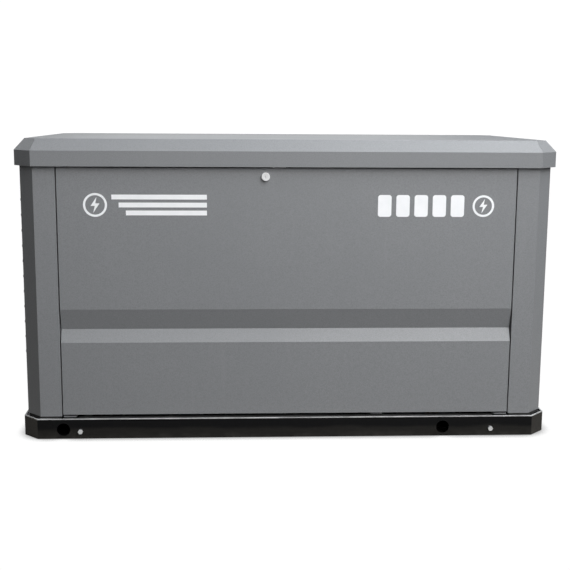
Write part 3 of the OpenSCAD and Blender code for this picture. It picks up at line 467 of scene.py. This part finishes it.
def moulded(name, colour, rough=(0.36, 0.55), grain=620, depth=0.10):
    """Moulded plastic or smooth enamel with a spark-eroded grain and handling marks."""
    s = Shader(name)
    scuff = s.noise(1, 3, 0.6, s.stretched((40, 40, 8)))
    light = tuple(min(1.0, c * 1.35 + 0.02) for c in colour)
    s.put("Base Color", s.mix(s.span(scuff, 0.55, 0.9, 0, 0.5), colour, light))
    s.put("Roughness", s.span(s.noise(70, 3), 0.3, 0.7, *rough))
    s.bump(s.cells(grain), depth * MM, 0.3)
    return s.material


def rubber():
    """Matt black rubber, bloomed grey in places."""
    s = Shader("black_rubber")
    bloom = s.noise(30, 4, 0.6)
    s.put("Base Color", s.mix(s.span(bloom, 0.5, 0.8), grey(0.016), grey(0.055)))
    s.put("Roughness", s.span(bloom, 0.3, 0.7, 0.62, 0.85))
    s.bump(s.noise(700, 2), 0.12 * MM, 0.4)
    return s.material


# Size of the red boot over the positive terminal.
BOOT = 27 * MM


def cable_rubber():
    """Cable rubber, with the positive terminal's boot in red."""
    s = Shader("battery_cable_rubber")
    low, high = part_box("battery_cables")
    boot = s.maths("MULTIPLY", s.maths("LESS_THAN", s.axis("Y"), low.y + BOOT),
                   s.maths("GREATER_THAN", s.axis("X"), high.x - BOOT))
    dark = s.mix(s.noise(60, 3), grey(0.014), grey(0.040))
    red = s.mix(s.noise(60, 3), (0.42, 0.015, 0.012), (0.55, 0.03, 0.02))
    s.put("Base Color", s.mix(boot, dark, red))
    s.put("Roughness", s.span(s.noise(90, 2), 0.3, 0.7, 0.42, 0.62))
    s.bump(s.noise(500, 2), 0.1 * MM, 0.3)
    return s.material


def foam_material():
    """Open-cell acoustic foam."""
    s = Shader("liner_foam")
    pores = s.cells(420)
    s.put("Base Color", s.mix(s.span(pores, 0.1, 0.6), grey(0.035), grey(0.095)))
    s.put("Roughness", 0.95)
    s.put("Specular IOR Level", 0.15)
    s.bump(pores, 0.8 * MM, 0.8)
    s.bump(s.noise(150, 3), 0.8 * MM, 0.4)
    return s.material


def white_film():
    """Printed white vinyl film."""
    s = Shader("white_film")
    s.put("Base Color", s.mix(s.noise(45, 3), (0.80, 0.81, 0.82), (0.92, 0.92, 0.93)))
    s.put("Roughness", s.span(s.noise(120, 2), 0.3, 0.7, 0.35, 0.5))
    s.bump(s.noise(300, 2), 0.05 * MM, 0.3)
    return s.material


# The display's window: from the face's left edge, and down from its top edge.
WINDOW_X = (18 * MM, 110 * MM)
WINDOW_DOWN = (33 * MM, 81 * MM)


def control_face():
    """Black moulded plastic with an unlit liquid-crystal window: green-grey glass with faint segment rows."""
    s = Shader("control_face_plastic")
    low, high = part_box("control_face")
    x, z = s.axis("X"), s.axis("Z")
    window = s.maths("MULTIPLY", s.maths("GREATER_THAN", x, low.x + WINDOW_X[0]),
                     s.maths("LESS_THAN", x, low.x + WINDOW_X[1]))
    window = s.maths("MULTIPLY", window, s.maths("GREATER_THAN", z, high.z - WINDOW_DOWN[1]))
    window = s.maths("MULTIPLY", window, s.maths("LESS_THAN", z, high.z - WINDOW_DOWN[0]))
    rows = s.span(s.bands(40, "Z"), 0.75, 0.9)
    glass = s.mix(rows, (0.16, 0.21, 0.12), (0.10, 0.14, 0.08))
    scuff = s.noise(1, 3, 0.6, s.stretched((40, 40, 8)))
    plastic = s.mix(s.span(scuff, 0.55, 0.9, 0, 0.5), grey(0.020), grey(0.045))
    s.put("Base Color", s.mix(window, plastic, glass))
    cloud = s.span(s.noise(70, 3), 0.3, 0.7, 0.34, 0.52)
    s.put("Roughness", s.maths("SUBTRACT", cloud, s.maths("MULTIPLY", window, 0.26)))
    s.bump(s.cells(620), 0.08 * MM, 0.25)
    return s.material


MATERIALS = {
    "grey_powder_coat": powder_coat(),
    "black_gloss_coat": gloss_black(),
    "zinc_plate": plated("zinc_plate", (0.92, 0.93, 0.94), (0.78, 0.79, 0.78), (0.42, 0.56), metallic=0.75),
    "galvanised_sheet": galvanised(),
    "chrome_lock": lock_chrome(),
    "black_rubber": rubber(),
    "liner_foam": foam_material(),
    "white_film": white_film(),
    "cast_aluminium": casting(),
    "black_engine_paint": moulded("black_engine_paint", grey(0.018), (0.26, 0.44), 300, 0.15),
    "machined_steel": plated("machined_steel", grey(0.62), grey(0.50), (0.18, 0.34), 60),
    "exhaust_steel": exhaust_steel(),
    "core_steel": copper_wound_core(),
    "brass_fitting": plated("brass_fitting", (0.72, 0.52, 0.22), (0.55, 0.38, 0.16), (0.22, 0.40), 50),
    "black_plastic": moulded("black_plastic", grey(0.022)),
    "yellow_plastic": moulded("yellow_plastic", (0.70, 0.42, 0.02), (0.30, 0.45)),
    "red_plastic": moulded("red_plastic", (0.52, 0.02, 0.015), (0.22, 0.36)),
    "yellow_paint": moulded("yellow_paint", (0.62, 0.36, 0.02), (0.20, 0.34), 240, 0.05),
}
OWN_MATERIALS = {"battery_cables": cable_rubber(), "control_face": control_face()}


def dress_cad_nodes():
    """Gives each CAD node its procedural material."""
    slots = {p["node"]: p["material_slot"] for p in frame["record"]["subparts"]}
    for name, node in frame["nodes"].items():
        node.data.materials.clear()
        node.data.materials.append(OWN_MATERIALS.get(name) or MATERIALS[slots[name]])


# Width in millimetres of the rounding at each piece's edges; 0 leaves them sharp.
COMMON_EDGE_MM = 0.5
EDGE_MM = {
    "lid": 1.4, "left_side_panel": 1.4, "right_side_panel": 1.4, "front_panel": 1.4, "rear_panel": 1.0,
    "base_tray": 1.2, "front_top_rail": 0.8, "bulkheads": 0.6, "weather_seals": 0.6,
    "front_decals": 0.0, "alternator_stator": 0.0,
}
FOLD_ANGLE = math.radians(28)


def soften_edges():
    """Rounds every fold and machined edge of the frame's pieces a little, so that it catches light."""
    for name, node in frame["nodes"].items():
        width = EDGE_MM.get(name, COMMON_EDGE_MM) * MM
        if width == 0:
            continue
        bevel = node.modifiers.new("soft_edge", "BEVEL")
        bevel.width = width
        bevel.segments = 2
        bevel.limit_method = "ANGLE"
        bevel.angle_limit = FOLD_ANGLE
        bevel.use_clamp_overlap = True
        bevel.harden_normals = True


# ---------- foam ----------

def mesh_piece(name, mesh, material, body):
    """A mesh in the row frame becomes a piece that rides a body and takes its finish from a slot."""
    piece = bpy.data.objects.new(name, mesh)
    bpy.context.scene.collection.objects.link(piece)
    piece.data.materials.append(material)
    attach(piece, body)
    return piece


# Egg-crate foam: the distance between peaks, and how many mesh steps go over it.
PITCH = 26 * MM
STEPS_A_PITCH = 6


def convoluted_pad(name, inside, low, high, face, depth):
    """Egg-crate foam: a grid over low..high in the pad's plane, its peaks at `face` and its back `depth` behind.

    low and high are (u, v) corners; `inside` says how far (u, v) is from the outline, in metres; `face` makes a
    row-frame point from u, v and the height over the back.
    """
    step = PITCH / STEPS_A_PITCH
    columns = max(2, round((high[0] - low[0]) / step))
    rows = max(2, round((high[1] - low[1]) / step))
    mesh = bmesh.new()
    top, back = {}, {}
    for i in range(columns + 1):
        for j in range(rows + 1):
            u = low[0] + (high[0] - low[0]) * i / columns
            v = low[1] + (high[1] - low[1]) * j / rows
            margin = inside(u, v)
            if margin < 0:
                continue
            wave = math.sin(2 * math.pi * u / PITCH) * math.sin(2 * math.pi * v / PITCH)
            swell = min(1.0, margin / (0.45 * PITCH))
            height = depth * (0.45 + swell * (0.26 + 0.28 * wave))
            top[i, j] = mesh.verts.new(face(u, v, height))
            back[i, j] = mesh.verts.new(face(u, v, 0))
    sides = {}
    for (i, j), corner in top.items():
        ring = [(i, j), (i + 1, j), (i + 1, j + 1), (i, j + 1)]
        if not all(key in top for key in ring):
            continue
        mesh.faces.new([top[key] for key in ring])
        mesh.faces.new([back[key] for key in reversed(ring)])
        for a, b in zip(ring, ring[1:] + ring[:1]):
            if (b, a) in sides:
                del sides[b, a]
            else:
                sides[a, b] = True
    for a, b in sides:
        mesh.faces.new([top[b], top[a], back[a], back[b]])
    bmesh.ops.delete(mesh, geom=[v for v in mesh.verts if not v.link_faces], context="VERTS")
    bmesh.ops.recalc_face_normals(mesh, faces=mesh.faces)
    made = bpy.data.meshes.new(name)
    mesh.to_mesh(made)
    mesh.free()
    for face_ in made.polygons:
        face_.use_smooth = True
    made.set_sharp_from_angle(angle=math.radians(50))
    return made


# Heights between which the foam leaves the groove free, and how much shorter the lower pad is at each end.
GROOVE_FREE = (216 * MM, 320 * MM)
LOWER_PAD_SHORT = 20 * MM
# A point on the pad's very edge counts as inside it.
ON_EDGE = 1e-6


def door_foam():
    """Two glued pads inside the front panel, over and under its pressed groove."""
    low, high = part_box("front_panel_foam")
    pads = bpy.data.meshes.new("door_foam")
    joined = bmesh.new()
    for z0, z1, cut in ((low.z, GROOVE_FREE[0], LOWER_PAD_SHORT), (GROOVE_FREE[1], high.z, 0.0)):
        x0, x1 = low.x + cut, high.x - cut

        def inside(u, v, x0=x0, x1=x1, z0=z0, z1=z1):
            return min(u - x0, x1 - u, v - z0, z1 - v) + ON_EDGE

        def face(u, v, h):
            return (u, low.y + h, v)

        pad = convoluted_pad("pad", inside, (x0, z0), (x1, z1), face, high.y - low.y)
        joined.from_mesh(pad)
        bpy.data.meshes.remove(pad)
    joined.to_mesh(pads)
    joined.free()
    piece = mesh_piece("door_foam", pads, MATERIALS["liner_foam"], "front_panel")
    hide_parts("front_panel_foam")


# The lid's liner: its corner chamfer, the fall of the lid over it, and the space left round the lock's keeper.
PAD_CORNER = 28 * MM
LID_FALL = 4 * MM
KEEPER_SPACE = 4 * MM
KEEPER_NOTCH_END = -290 * MM


def lid_foam():
    """The lid's liner: an eight-sided pad, cut away round the lock's keeper."""
    low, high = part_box("lid_foam")
    keeper_low, keeper_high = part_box("lid_keeper")
    depth = high.z - low.z - LID_FALL

    def inside(u, v):
        slant = (high.x - abs(u) + high.y - abs(v) - PAD_CORNER) / math.sqrt(2)
        edge = min(high.x - abs(u), high.y - abs(v), slant)
        beside = max(keeper_low.x - KEEPER_SPACE - u, u - keeper_high.x - KEEPER_SPACE, v - KEEPER_NOTCH_END)
        return min(edge, beside) + ON_EDGE

    def face(u, v, h):
        return (u, v, low.z + depth - h)

    pad = convoluted_pad("lid_foam_pad", inside, (low.x, low.y), (high.x, high.y), face, depth)
    piece = mesh_piece("lid_foam_pad", pad, MATERIALS["liner_foam"], "lid")
    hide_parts("lid_foam")


make_camera()
make_stage()
dress_cad_nodes()
soften_edges()
door_foam()
lid_foam()
